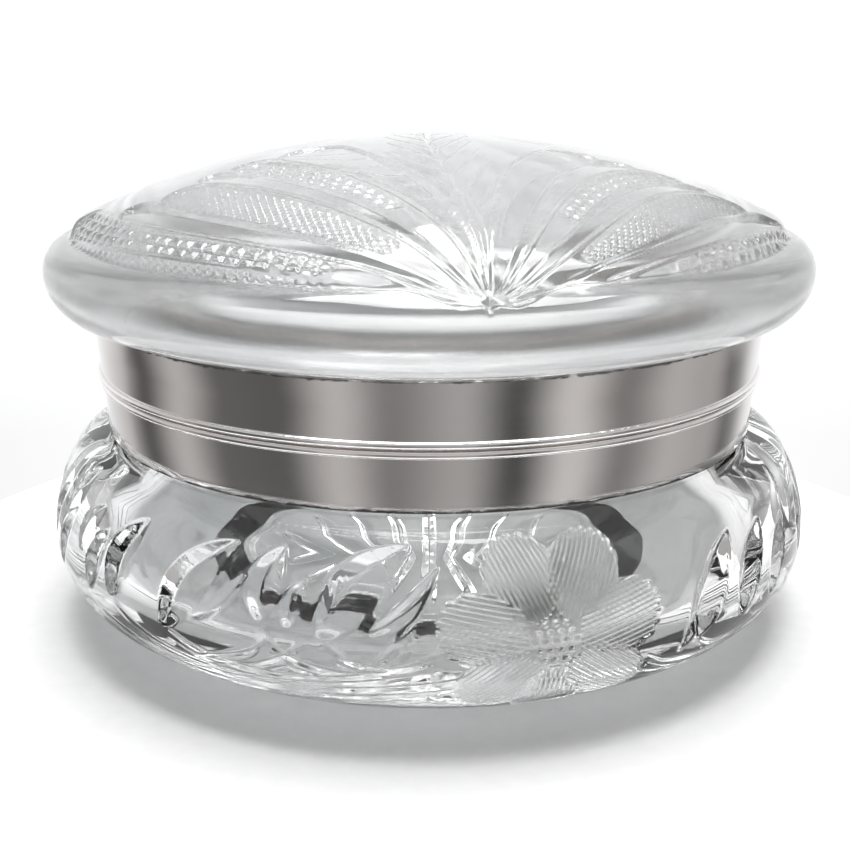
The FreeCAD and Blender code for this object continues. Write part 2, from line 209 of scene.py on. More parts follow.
def fan(x, y):
    """Depth of cut and polish over one half of the lid, for points on that half."""
    across = x - FAN_POINT[0]
    up = y - FAN_POINT[1]
    rho = np.hypot(across, up)
    angle = np.degrees(np.arctan2(up, across))
    angle = np.where(angle < -90, angle + 360, angle)
    rho = np.maximum(rho, 0.01)
    turn = np.radians(1.0) * rho
    haze = np.zeros_like(x)
    start_angle = math.degrees(math.atan2(FAN_POINT[1], FAN_POINT[0]))
    chord = np.degrees(np.arcsin(np.clip(rho / (2 * CUT_RADIUS), 0, 1)))
    left_edge = start_angle + 270 - chord
    right_edge = start_angle + 90 + chord

    depth = np.zeros_like(x)

    def leaf(low, high, last, tilt, pattern=None, first=18.0, margin=0.9, nest=0):
        """A facet between two fan lines, leaning to one side and ending last mm from the point.
        From first mm on it holds a pattern, and nest rings follow its end."""
        nonlocal depth, haze
        middle = (low + high) / 2
        side = (angle - middle) * turn
        half = np.maximum((high - low) / 2 * turn, 0.01)
        tip = np.minimum(6.0, half * 1.3 + 0.5)
        over = np.clip((rho - (last - tip)) / tip, 0, 1)
        shrunk = half * np.sqrt(1 - over ** 2)
        inside = shrunk - np.abs(side)
        here = inside > 0
        lean = np.minimum(abs(tilt), 0.4 * half) * (0.5 - np.sign(tilt) * side / (2 * half))
        cut = 0.08 + lean * np.clip(inside / 0.35, 0, 1)
        room = np.zeros_like(x)
        if pattern is not None:
            room = np.clip((inside - margin) / 0.4, 0, 1) * np.clip((rho - first) / 2.0, 0, 1)
            room = room * np.clip((last - 1.5 - rho) / 1.0, 0, 1)
            cut = cut * (1 - 0.6 * room) + room * (0.12 + pattern(rho, side, half))
        depth = np.where(here, depth + cut, depth)
        haze = np.where(here, 0.3 - 0.26 * room, haze)
        line = v_cut(inside, 0.45, 0.42) * (rho < last + 0.4) * ease((rho - 1.5) / 5)
        depth = depth + np.where(here, 0, line)
        for k in range(nest):
            ring = v_cut(inside - 1.1 * (k + 1), 0.32, 0.3) * np.clip((rho - last + 11) / 4, 0, 1)
            depth = depth + np.where(here, ring, 0)

    def hatch(pitch, cut):
        """Fine crossed lines that leave small points between them."""
        def pattern(along, side, half):
            a = ridge((along * 0.7 + side) / pitch)
            b = ridge((along * 0.7 - side) / pitch)
            return cut * np.maximum(a, b)
        return pattern

    def blocks(pitch, cut):
        """Square blocks with a groove across each, row by row along the facet."""
        def pattern(along, side, half):
            a = ridge(along / pitch)
            b = ridge(side / (pitch * 0.9))
            c = ridge((along + side) / (pitch * 2)) * 0.55
            return cut * np.maximum(np.maximum(a, b) ** 1.6, c)
        return pattern

    def nail_heads(pitch, cut):
        """Crossed lines with a small pit where they meet."""
        def pattern(along, side, half):
            a = ridge((along + side) / pitch)
            b = ridge((along - side) / pitch)
            pip = v_cut(np.hypot(a, b), 0.35, cut * 0.5)
            return cut * np.maximum(a, b) + pip
        return pattern

    def feathers(pitch, cut, lean):
        """Sparse thin lines that bow across the facet."""
        def pattern(along, side, half):
            t = (along - lean * (side / np.maximum(half, 0.1)) ** 2 * 4 - lean * side) / pitch
            return np.clip((ridge(t) - 0.9) / 0.1, 0, 1) * cut
        return pattern

    spine = through(rho, 94, 98, 97)
    fine, rim_fine = hatch(1.3, 0.55), hatch(1.25, 0.5)
    coarse = blocks(2.5, 0.62)
    # Left of the spine, from the middle of the lid towards the rim.  Neighbours share a line.
    lines = [
        through(rho, *angles) for angles in (
            (99, 108, 112), (109, 118, 123), (121, 126.5, 129.5), (130, 132.5, 133.5),
            (147, 146, 140), (157, 153, 144.5), (167, 160.8, 150.8),
        )
    ]
    leaf(lines[0], lines[1], 64, 0.55, feathers(5.6, 0.12, 1.1), 12, 0.2)
    leaf(lines[1], lines[2], 66, -0.5, nail_heads(2.7, 0.6), 26)
    leaf(lines[2], lines[3], 67, 0.6)
    leaf(lines[3], lines[4], 67, -0.5, fine, 17, 0.9, 2)
    leaf(lines[4], lines[5], 72, 0.95)
    leaf(lines[5], lines[6], 88, -0.5, coarse, 22, 0.5)
    leaf(lines[6], left_edge - 1.0, 80, 0.45, rim_fine, 17, 0.5)
    # Right of the spine, the same way.
    lines = [
        through(rho, *angles) for angles in (
            (88, 84, 72.5), (73, 74, 65.5), (66, 68, 60), (55, 60, 55), (47, 54.5, 52.5),
            (33, 42, 47.4), (24.5, 35.5, 43.6), (16.5, 28, 40.4),
        )
    ]
    leaf(lines[1], lines[0], 60, 0.6)
    leaf(lines[2], lines[1], 61, -0.6)
    leaf(lines[3], lines[2], 64, 0.45, blocks(1.8, 0.46), 25, 0.5)
    leaf(lines[4], lines[3], 65, -0.55)
    leaf(lines[5], lines[4], 66, 0.5, fine, 18, 0.9, 2)
    leaf(lines[6], lines[5], 71, -0.95)
    leaf(lines[7], lines[6], 82, 0.5, coarse, 30, 0.5, 2)
    leaf(right_edge + 1.0, lines[7], 74, -0.45, rim_fine, 15, 0.5)

    # The spine: one mitre with fine barbs that curl away from it.
    off = (angle - spine) * turn
    depth = depth + v_cut(off, 0.7, 0.5) * ease((rho - 1.5) / 5)
    along = rho - 0.085 * off ** 2 - 1.6 * np.abs(off)
    barbs = np.clip((ridge(along / 7.0) - 0.9) / 0.1, 0, 1) * 0.22
    near = (np.abs(off) < 7.0) & (rho > 24)
    near &= (angle > through(rho, 89, 85, 74)) & (angle < through(rho, 98, 107, 111))
    depth = depth + np.where(near, barbs, 0)
    # The point of the fan: a small four-pointed star.
    star = 1 - (np.abs(across / 2.6) ** 0.62 + np.abs((up - 0.8) / 3.4) ** 0.62)
    depth = np.maximum(depth, 0.9 * np.clip(star, 0, 1))
    return depth, haze


def lid_cuts(x, y):
    """The fan at the front and the same one turned half round at the back."""
    front, front_haze = fan(x, np.minimum(y, 0))
    back, back_haze = fan(-x, np.minimum(-y, 0))
    return np.where(y <= 0, front, back), np.where(y <= 0, front_haze, back_haze)


# --- Lid glass ------------------------------------------------------------------------------------

LID_CELLS = 500
HALF_TURN = math.pi / 4


def disc_grid(cells):
    """A square grid pressed into a unit disc, so that its cells stay even to the edge."""
    side = np.linspace(-1, 1, cells + 1)
    a, b = np.meshgrid(side, side)
    wide = np.abs(a) >= np.abs(b)
    reach = np.where(wide, a, b)
    safe_a = np.where(a == 0, 1, a)
    safe_b = np.where(b == 0, 1, b)
    swing = np.where(wide, HALF_TURN * b / safe_a, 2 * HALF_TURN - HALF_TURN * a / safe_b)
    return reach * np.cos(swing), reach * np.sin(swing)


def edge_loop(cells):
    """Indices of the grid's outer points, counter-clockwise."""
    index = np.arange((cells + 1) ** 2).reshape(cells + 1, cells + 1)
    return np.concatenate([index[0, :-1], index[:-1, -1], index[-1, :0:-1], index[:0:-1, 0]])


def skin_rings(loops):
    """Quads and triangles between rings of point indices; a ring may have half the points of
    the one before it."""
    quads, triangles = [], []
    for one, two in zip(loops, loops[1:]):
        if len(one) == len(two):
            quads.append(np.stack([one, two, np.roll(two, -1), np.roll(one, -1)], axis=-1))
        else:
            first, middle, last = one[0::2], one[1::2], np.roll(one[0::2], -1)
            ahead = np.roll(two, -1)
            triangles.append(np.stack([first, two, middle], axis=-1))
            triangles.append(np.stack([middle, two, ahead], axis=-1))
            triangles.append(np.stack([middle, ahead, last], axis=-1))
    none = np.zeros((0, 3), dtype=int)
    return np.concatenate(quads), np.concatenate(triangles) if triangles else none


def curve_through(points, step):
    """A smooth polyline through the given points."""
    points = np.asarray(points, dtype=float)
    padded = np.vstack([2 * points[0] - points[1], points, 2 * points[-1] - points[-2]])
    path = []
    for k in range(1, len(padded) - 2):
        p0, p1, p2, p3 = padded[k - 1:k + 3]
        for t in np.linspace(0, 1, 8, endpoint=False):
            path.append(0.5 * (2 * p1 + (p2 - p0) * t + (2 * p0 - 5 * p1 + 4 * p2 - p3) * t ** 2
                               + (3 * p1 - p0 - 3 * p2 + p3) * t ** 3))
    path.append(padded[-2])
    return resample(path, step)


def dome_profile():
    """From the dome's top over the wall at its edge and onto the rim: points, and run."""
    reach = np.linspace(0, DOME_EDGE, 200)
    sunk = DOME_SPHERE - np.sqrt(DOME_SPHERE ** 2 - reach ** 2)
    dome = np.stack([reach, LID_TOP - sunk], axis=1)
    wall = curve_through([
        dome[-1] - (0, SEAM), (62.9, 26.7), (63.45, 25.8), (63.85, 24.9), (64.35, 24.35),
        (65.1, 24.15), (66.1, 23.8), (67.3, 23.0), (68.3, 21.7),
    ], 0.1)[1:]
    wall[:, 1] += SEAM
    path = np.vstack([dome, wall])
    run = np.concatenate([[0], np.cumsum(np.hypot(*np.diff(path, axis=0).T))])
    return path, run


def build_lid():
    """The lid's glass: one square grid over its cut top, then rings for the rim and the hollow."""
    unit_x, unit_y = disc_grid(LID_CELLS)
    path, run = dome_profile()
    unit = np.hypot(unit_x, unit_y)
    along = unit * run[-1]
    radius = np.interp(along, run, path[:, 0])
    height = np.interp(along, run, path[:, 1])
    slope_r = np.interp(along, run, np.gradient(path[:, 0], run))
    slope_z = np.interp(along, run, np.gradient(path[:, 1], run))
    flat_scale = CUT_RADIUS / np.interp(64.3, path[:, 0], run)
    flat = along * flat_scale
    turn_x = unit_x / np.maximum(unit, 1e-9)
    turn_y = unit_y / np.maximum(unit, 1e-9)
    to_point = np.minimum(
        np.hypot(flat * turn_x - FAN_POINT[0], flat * turn_y - FAN_POINT[1]),
        np.hypot(flat * turn_x + FAN_POINT[0], flat * turn_y + FAN_POINT[1]),
    )
    # Towards each fan's point the step at the dome's edge is ground away to one even slope.
    start, end = np.interp((51.0, 67.7), path[:, 0], run)
    share = np.clip((along - start) / (end - start), 0, 1)
    high_end = np.array([np.interp(start, run, path[:, k]) for k in (0, 1)])
    low_end = np.array([np.interp(end, run, path[:, k]) for k in (0, 1)])
    ground = (1 - ease((to_point - 5.0) / 17.0)) * (share > 0) * (share < 1)
    even = (low_end - high_end) / np.hypot(*(low_end - high_end))
    radius = radius + ground * (high_end[0] + (low_end[0] - high_end[0]) * share - radius)
    height = height + ground * (high_end[1] + (low_end[1] - high_end[1]) * share - height)
    slope_r = slope_r + ground * (even[0] - slope_r)
    slope_z = slope_z + ground * (even[1] - slope_z)
    cuts, haze = lid_cuts(flat * turn_x, flat * turn_y)
    limit = 63.7 + 4.6 * (1 - ease((to_point - 1.0) / 12.0))
    cuts = cuts * (1 - ease((flat - limit) / 0.5))
    radius = radius + slope_z * cuts
    height = height - slope_r * cuts
    points = [np.stack([radius * turn_x, radius * turn_y, height], axis=-1).reshape(-1, 3)]
    marks = [np.where(flat < limit, haze, 0).ravel()]
    quads = [grid_quads(LID_CELLS + 1, LID_CELLS + 1, False)]
    count = (LID_CELLS + 1) ** 2

    rim = curve_through([
        (68.3, 21.7), (68.85, 20.3),
        (69.0, 18.9), (68.85, 17.4), (68.35, 15.8), (67.4, 14.2), (66.1, 12.9), (64.4, 11.9),
        (62.5, 11.25), (60.6, 10.97),
    ], 0.62)[1:]
    rim[:, 0] *= RIM_RADIUS / 69.0
    rim[:, 1] += SEAM
    inside = np.vstack([
        [(59.4, 10.95), (58.3, 10.95), (57.7, 11.0), (57.48, 10.8)],
        [(57.46, 9.0), (57.46, 7.0), (57.46, 5.4)],
        arc((57.06, 5.05), 0.4, 0, -90, 4),
        [(56.2, 4.65), (55.4, 4.65)],
        arc((55.04, 5.05), 0.4, -90, -180, 4),
        [(54.64, 7.0), (54.64, 10.0), (54.64, 13.0), (54.64, 15.6)],
        arc((46.1, 16.9), 8.54, 0, 76, 12),
    ])
    ceiling_end = inside[-1]
    ceiling_top = 32.4
    drop = ceiling_top - ceiling_end[1]
    sphere = (ceiling_end[0] ** 2 + drop ** 2) / (2 * drop)
    reach = np.linspace(ceiling_end[0], 0, 30)[1:-1]
    ceiling = np.stack([reach, ceiling_top - (sphere - np.sqrt(sphere ** 2 - reach ** 2))], axis=1)
    inside[:, 1] += SEAM
    ceiling[:, 1] += SEAM

    loops = [edge_loop(LID_CELLS)]
    sectors = 4 * LID_CELLS
    first_angle = -3 * HALF_TURN
    for group, fewer, satin in ((rim, 2, 0.0), (inside, 4, 1.5), (ceiling, 4, 0.45)):
        for r, z in group:
            number = sectors // fewer
            turn = first_angle + np.arange(number) * 2 * math.pi / number
            ring = [r * np.cos(turn), r * np.sin(turn), np.full(number, z)]
            points.append(np.stack(ring, axis=-1))
            marks.append(np.full(number, satin))
            loops.append(np.arange(count, count + number))
            count += number
    ring_quads, ring_triangles = skin_rings(loops)
    quads.append(ring_quads)
    points.append(np.array([[0, 0, SEAM + ceiling_top]]))
    marks.append(np.full(1, satin))
    last = loops[-1]
    cap = np.stack([last, np.full(len(last), count), np.roll(last, -1)], axis=-1)
    return outward(add_mesh(
        "lid_glass", np.concatenate(points), np.concatenate(quads),
        np.concatenate([ring_triangles, cap]), values={"cut": np.concatenate(marks)},
    ))


# --- Bowl glass -----------------------------------------------------------------------------------

FLOWER_TURN = 15.3
FLOWER_DROP = 21.9
REPEATS = 3


def heading(start, end):
    """The direction from start to end, in degrees."""
    return math.degrees(math.atan2(end[1] - start[1], end[0] - start[0]))


def outer_profile():
    """Bowl's outside from the shoulder's top down to the foot: points, and run."""
    level, shoulder, foot = 17.4, (58.9, 35.3), 43.5
    reach, rise, tight = BELLY_RADIUS - shoulder[0], shoulder[1] - level, 8.5
    large = ((rise - tight) ** 2 + reach ** 2 - tight ** 2) / (2 * (reach - tight))
    tight_middle = (shoulder[0], shoulder[1] - tight)
    large_middle = (BELLY_RADIUS - large, level)
    joint = heading(large_middle, tight_middle)
    parts = [arc(tight_middle, tight, 90, joint, 60), arc(large_middle, large, joint, 0, 90)[1:]]
    reach, rise, tight = BELLY_RADIUS - foot, level, 13.0
    large = ((reach - tight) ** 2 + rise ** 2 - tight ** 2) / (2 * (rise - tight))
    tight_middle = (BELLY_RADIUS - tight, level)
    large_middle = (foot, large)
    joint = heading(large_middle, tight_middle)
    parts += [arc(tight_middle, tight, 0, joint, 90)[1:]]
    parts += [arc(large_middle, large, joint, -90, 140)[1:]]
    path = np.concatenate(parts)
    run = np.concatenate([[0], np.cumsum(np.hypot(*np.diff(path, axis=0).T))])
    return path, run


def spacing(total, dense, fine, coarse, closed):
    """Marks from 0 to total, fine inside the dense stretches and coarse outside them."""
    fractions = np.linspace(0, total, 20001)
    step = np.full_like(fractions, coarse)
    for low, high in dense:
        near = np.maximum(low - fractions, fractions - high)
        step = np.minimum(step, fine + (coarse - fine) * np.clip(near / 4.0, 0, 1))
    rate = np.concatenate([[0], np.cumsum(np.diff(fractions) / ((step[1:] + step[:-1]) / 2))])
    count = int(round(rate[-1] / 4)) * 4
    marks = np.interp(np.linspace(0, rate[-1], count + 1), rate, fractions)
    return marks[:-1] if closed else marks


def local_leaf(u, v, base, tip, half_width, bend, depth, veins=0.0, skew=0.0):
    """A two-facet leaf cut along a bowed line from base to tip; all in millimetres."""
    base, tip = np.array(base, dtype=float), np.array(tip, dtype=float)
    length = np.linalg.norm(tip - base)
    ahead = (tip - base) / length
    side = np.array([-ahead[1], ahead[0]])
    du, dv = u - base[0], v - base[1]
    along = (du * ahead[0] + dv * ahead[1]) / length
    off = du * side[0] + dv * side[1] - bend * 4 * along * (1 - along)
    t = np.clip(along, 0, 1)
    width = half_width * np.sin(math.pi * t ** 0.85) ** 0.8
    rib = off - skew * width
    lower = np.where(rib > 0, width * (1 - skew), width * (1 + skew))
    inside = np.clip(1 - np.abs(rib) / np.maximum(lower, 0.05), 0, 1)
    cut = depth * inside * np.minimum(width / (half_width * 0.7), 1)
    if veins:
        lines = ridge((along * length - np.abs(rib) * 0.9) / 1.15)
        cut = cut + veins * lines * (inside > 0.06) * (rib > 0)
    return np.where((along > 0) & (along < 1) & (inside > 0), cut, 0)


def stroke(u, v, path, half_width, depth):
    """A narrow groove along a smooth curve through a few points, fading at both ends."""
    line = curve_through(path, 0.8)
    low, high = line.min(axis=0) - 2, line.max(axis=0) + 2
    pick = (u > low[0]) & (u < high[0]) & (v > low[1]) & (v < high[1])
    result = np.zeros_like(u)
    pu, pv = u[pick], v[pick]
    best = np.full(pu.shape, 1e9)
    place = np.zeros(pu.shape)
    for k in range(len(line) - 1):
        a, b = line[k], line[k + 1]
        d = b - a
        t = np.clip(((pu - a[0]) * d[0] + (pv - a[1]) * d[1]) / (d @ d), 0, 1)
        gap = np.hypot(pu - a[0] - t * d[0], pv - a[1] - t * d[1])
        closer = gap < best
        best = np.where(closer, gap, best)
        place = np.where(closer, (k + t) / (len(line) - 1), place)
    taper = np.sin(math.pi * np.clip(place, 0.02, 0.98)) ** 0.5
    result[pick] = depth * taper * np.clip(1 - best / (half_width * taper), 0, 1)
    return result


PETALS = 7
PETAL_GROOVE = 0.78


def flower(u, v):
    """Depth of the flower's cutting and how matt it is."""
    depth = np.zeros_like(u)
    matt = np.zeros_like(u)
    for k in range(PETALS):
        lean = math.radians(90 + 360 / PETALS * (k + 0.5))
        along = u * math.cos(lean) + v * math.sin(lean)
        off = -u * math.sin(lean) + v * math.cos(lean)
        groove = np.round(off / PETAL_GROOVE)
        reach = along + 0.55 * (np.abs(groove) % 2)
        grow = 1.9 + 3.7 * np.sin(math.pi / 2 * np.clip((reach - 3.6) / 8.6, 0, 1))
        end = 5.6 * np.sqrt(np.clip(1 - ((reach - 12.2) / 6.0) ** 2, 0, 1))
        half = np.where(reach < 12.2, grow, end)
        inside = (along > 3.6) & (np.abs(off) < half)
        cut = 0.05 + 0.42 * ridge(off / PETAL_GROOVE)
        depth = np.maximum(depth, np.where(inside, cut, 0))
        matt = np.maximum(matt, np.where(inside, 1.0, 0))
    reach = np.hypot(u, v)
    lattice = np.zeros_like(u)
    for k in range(3):
        lean = math.radians(60 * k + 30)
        across = (u * math.cos(lean) + v * math.sin(lean)) / 1.45
        lattice = np.maximum(lattice, ridge(across + 0.5) ** 1.3)
    corner = np.zeros_like(u)
    for k in range(3):
        lean = math.radians(60 * k)
        corner = np.maximum(corner, np.abs(u * math.cos(lean) + v * math.sin(lean)))
    middle = corner < 3.9
    rim = v_cut(corner - 3.9, 0.45, 0.45) * (reach < 5.4)
    depth = np.maximum(np.where(middle, 0.45 * lattice, depth), rim)
    matt = np.where(middle, 0.5, matt)
    return depth, matt


def spray(u, v):
    """Leaves and stems beside one flower; u runs right and v runs up from the flower's middle."""
    cut = np.zeros_like(u)
    leaves = [
        ((-35.0, 1.0), (-21.9, 15.4), 4.1, 1.4, 1.05, 0.10, 0.25),
        ((-27.9, 1.9), (-17.4, 12.2), 1.4, -1.2, 0.5, 0.0, 0.0),
        ((-44.8, 2.5), (-41.6, 14.0), 3.1, 1.0, 0.9, 0.08, 0.2),
        ((-40.2, 2.0), (-37.6, 9.4), 1.9, 0.6, 0.6, 0.0, 0.0),
        ((-62.5, -2.2), (-50.2, 13.6), 3.9, 1.6, 1.05, 0.10, 0.25),
        ((-56.5, 0.5), (-47.0, 9.8), 1.2, -1.0, 0.45, 0.0, 0.0),
        ((-76.0, -1.0), (-69.0, 13.4), 3.4, 1.2, 0.95, 0.08, 0.2),
        ((-83.0, -2.0), (-78.2, 9.4), 2.6, 1.0, 0.8, 0.0, 0.1),
        ((26.0, -4.6), (35.2, 11.0), 3.6, 1.3, 1.05, 0.10, 0.2),
        ((37.0, -4.0), (45.0, 10.4), 3.1, 1.2, 0.95, 0.08, 0.2),
        ((22.6, -6.4), (25.6, 4.8), 1.3, -0.8, 0.5, 0.0, 0.0),
        ((47.0, -4.0), (54.6, 8.8), 2.6, 1.0, 0.8, 0.0, 0.1),
    ]
    for base, tip, half, bend, depth, veins, skew in leaves:
        cut = np.maximum(cut, local_leaf(u, v, base, tip, half, bend, depth * 1.45, veins, skew))
    stems = [
        [(-83, -4), (-70, -7.5), (-52, -9), (-34, -8.2), (-16, -5.5), (-9, -3)],
        [(-76, -1), (-66, -5.5), (-50, -8), (-33, -6.8), (-17, -3.2)],
        [(-62.5, -2.2), (-54, -5), (-42, -6.4), (-28, -4.6), (-17.5, -0.6)],
        [(-44.8, 2.5), (-41, -2), (-32, -4.6), (-22, -3)],
        [(-35, 1), (-31, -2), (-25, -3.2), (-18, -2)],
        [(-70, -9), (-54, -11.5), (-38, -11.2), (-20, -8.4)],
        [(16, -5), (22, -8), (32, -9.4), (44, -8.4), (56, -5.4)],
        [(26, -4.6), (31, -7.4), (40, -7.8), (50, -5.6)],
        [(14, -8), (24, -11), (38, -12.2), (54, -9.6), (62, -6.6)],
        [(-58, -6.6), (-47, -3), (-43, 0.4)],
        [(-50, -7), (-41, -2.6), (-36.5, 0.4)],
        [(-30, -5), (-25, -1), (-20.5, 4.2)],
    ]
    for path in stems:
        cut = np.maximum(cut, stroke(u, v, path, 0.75, 0.34))
        shifted = [(a + 0.6, b - 1.7) for a, b in path]
        cut = np.maximum(cut, stroke(u, v, shifted, 0.5, 0.2))
    return cut


def build_bowl():
    """The bowl's glass: an engraved outside, the hollow inside, and a foot with a star under it."""
    path, run = outer_profile()
    girth = 2 * math.pi * BELLY_RADIUS
    per_degree = girth / 360
    dense = []
    for k in range(REPEATS):
        middle = ((FLOWER_TURN + 120 * k) % 360) * per_degree
        dense.append((middle - 17.5, middle + 17.5))
    around = spacing(girth, dense, 0.2, 0.46, True) / per_degree
    down = spacing(run[-1], [(5.0, 39.0)], 0.22, 0.6, False)
    radius = np.interp(down, run, path[:, 0])
    height = np.interp(down, run, path[:, 1])
    slope = np.stack([np.gradient(radius, down), np.gradient(height, down)], axis=1)
    slope /= np.linalg.norm(slope, axis=1, keepdims=True)
    inward = np.stack([slope[:, 1], -slope[:, 0]], axis=1)
    degrees, drop = np.meshgrid(around, down)
    cut = np.zeros_like(degrees)
    matt = np.zeros_like(degrees)
    for k in range(REPEATS):
        turn = (degrees - FLOWER_TURN - 120 * k + 180) % 360 - 180
        u = turn * per_degree
        v = FLOWER_DROP - drop
        petals, frost = flower(u, v)
        leaves = spray(u, v)
        leaves = np.where(petals > 0, 0, leaves)
        cut = np.maximum(cut, np.maximum(petals, leaves))
        matt = np.maximum(matt, np.maximum(frost, 0.25 * (leaves > 0)))
    r = radius[:, None] + inward[:, :1] * cut
    z = height[:, None] + inward[:, 1:] * cut
    turn = np.radians(degrees)
    points = [np.stack([r * np.sin(turn), -r * np.cos(turn), z], axis=-1).reshape(-1, 3)]
    marks = [matt.ravel()]
    rows, columns = degrees.shape
    quads = [grid_quads(rows, columns, True)]
    count = rows * columns
    angles = np.radians(around)

    def add_ring(r, z, turn, raised=None):
        nonlocal count
        lift = np.zeros_like(turn) if raised is None else raised(r, turn)
        points.append(np.stack([r * np.sin(turn), -r * np.cos(turn), z + lift], axis=-1))
        marks.append(np.zeros(len(turn)))
        count += len(turn)
        return np.arange(count - len(turn), count)

    half = angles[0::2]
    fourth = angles[0::4]
    neck = np.vstack([
        [(58.2, 35.28), (57.6, 35.3)],
        [(57.46, 35.6), (57.46, 38.5), (57.46, 41.5), (57.46, 43.6)],
        arc((56.86, NECK_TOP - 0.6), 0.6, 0, 90, 4),
        [(55.8, NECK_TOP)],
        arc((54.64, NECK_TOP - 0.6), 0.6, 90, 180, 4),
        [(54.04, 41.0), (54.04, 38.0), (54.04, 35.2)],
    ])
    top_middle, belly_middle = (54.0, 27.0), (41.24, 19.0)
    joint = heading(belly_middle, top_middle)
    upper = np.vstack([
        arc(top_middle, 6.54, 90, joint, 10), arc(belly_middle, 21.6, joint, 0, 14)[1:],
    ])
    corner_middle, base_middle = (54.8, 19.0), (36.0, 88.44)
    joint = heading(base_middle, corner_middle)
    lower = np.vstack([
        arc(corner_middle, 8.04, 0, joint, 14)[1:], arc(base_middle, 79.98, joint, -90, 12)[1:],
    ])
    floor = np.stack([np.linspace(36.0, 0, 22)[1:-1], np.full(20, 8.46)], axis=1)
    inner = np.vstack([neck, upper, lower, floor])
    loops = [np.arange(columns)]
    for k, (ring_r, ring_z) in enumerate(inner):
        loops.append(add_ring(ring_r, ring_z, half if k < 2 else fourth))
    ring_quads, ring_triangles = skin_rings(loops)
    quads.append(ring_quads)
    triangles = [ring_triangles]
    points.append(np.array([[0, 0, 8.46]]))
    marks.append(np.zeros(1))
    last = loops[-1]
    triangles.append(np.stack([last, np.full(len(last), count), np.roll(last, -1)], axis=-1))
    count += 1

    def star(r, turn):
        """Mitres that meet under the middle of the foot."""
        rays = 24
        off = (turn * rays / (2 * math.pi) + 0.5) % 1 - 0.5
        width = 0.42 * np.clip(1 - r / 34.5, 0, 1) ** 0.6 + 0.02
        long_ray = np.clip(1 - np.abs(off) / np.maximum(width, 1e-3), 0, 1)
        return 1.5 * long_ray * ease((34.5 - r) / 9.0) * ease(r / 3.0 + 0.3)

    loops = [np.arange(columns) + (rows - 1) * columns]
    foot = np.vstack([
        [(42.6, 0.0), (41.0, 0.0), (39.0, 0.0), (37.2, 0.0)],
        [(36.5, 0.05), (36.0, 0.2), (35.4, 0.7), (35.0, 0.95)],
    ])
    for ring_r, ring_z in foot:
        loops.append(add_ring(ring_r, ring_z, half))
    for ring_r in np.linspace(34.6, 0.6, 62):
        loops.append(add_ring(ring_r, 1.02, half, star))
    ring_quads, ring_triangles = skin_rings(loops)
    quads.append(ring_quads)
    triangles.append(ring_triangles)
    points.append(np.array([[0, 0, 2.0]]))
    marks.append(np.zeros(1))
    last = loops[-1]
    triangles.append(np.stack([last, np.full(len(last), count), np.roll(last, -1)], axis=-1))
    return outward(add_mesh(
        "bowl_glass", np.concatenate(points), np.concatenate(quads), np.concatenate(triangles),
        values={"cut": np.concatenate(marks)},
    ))


# --- Metal, cement and hinge ----------------------------------------------------------------------

SECTORS = 360


def dent(amount, seed):
    """Slight waviness of thin spun metal, in radius only."""
    rng = np.random.default_rng(seed)
    waves = [
        (k, rng.uniform(-1, 1), rng.uniform(0, 2 * math.pi), rng.uniform(0.2, 0.9))
        for k in range(3, 14)
    ]

    def wobble(turn, height):
        shift = sum(a / k * np.sin(k * turn + p + q * height * 0.2) for k, a, p, q in waves)
        return -amount * (1 + shift * 0.5)
    return wobble


def build_metal():
    """The two bands, the bezel and the plaster, each named by the CAD node that it stands for."""
    made = {}
    low, high = lower_low[2], lower_high[2]
    outer = lower_high[0]
    made["lower_band"] = lathe("lower_band_shell", rounded([
        (outer - 1.28, low + INSET, 0.12), (outer - 0.5, low + INSET, 0.3),
        (outer - 0.25, low + 5.0, 0), (outer - INSET, high - 1.45, 0), (outer - INSET, high, 0.12),
        (53.02, high, 0.3),
        (53.02, high - 3.8, 0.2), (53.78, high - 3.8, 0.2), (53.8, high - 0.8, 0.3),
        (outer - 0.8, high - 0.8, 0.3), (outer - 0.8, high - 1.45, 0),
    ]), SECTORS * 2, wobble=dent(0.03, 4))
    low, high = upper_low[2], upper_high[2]
    outer = upper_high[0]
    made["upper_band"] = lathe("upper_band_shell", rounded([
        (outer - 1.6, low, 0.12), (outer - 0.82, low, 0.12), (outer - 0.82, low + 1.45, 0),
        (outer - 0.45, low + 6.0, 0), (outer - 0.03, high - INSET, 0.3),
        (outer - 0.8, high - INSET, 0.15),
        (outer - 1.4, low + 3.9, 0.2), (54.42, low + 3.9, 0.2), (54.42, low + 3.2, 0.2),
        (outer - 1.6, low + 3.2, 0.2),
    ]), SECTORS * 2, wobble=dent(0.03, 9))
    low, high = box_mm("bezel_ring")
    made["bezel_ring"] = lathe("bezel_shell", rounded([
        (high[0] - 0.68, low[2], 0), (high[0] - INSET, low[2], 0),
        (high[0] - INSET, high[2] - INSET, 0.25), (high[0] - 0.68, high[2] - INSET, 0.25),
    ]), SECTORS)
    made["lower_cement"] = lathe("lower_plaster", [
        (57.5, 36.0), (58.7, 36.0), (59.18, 44.0), (59.18, 44.72), (54.02, 44.72), (54.02, 44.32),
        (57.5, 44.32),
    ], SECTORS)
    made["upper_cement"] = lathe("upper_plaster", [
        (54.62, 49.72), (59.78, 49.72), (60.35, 56.32), (57.5, 56.32), (57.5, 50.32), (54.62, 50.32),
    ], SECTORS)
    for obj in made.values():
        outward(obj)
    return made


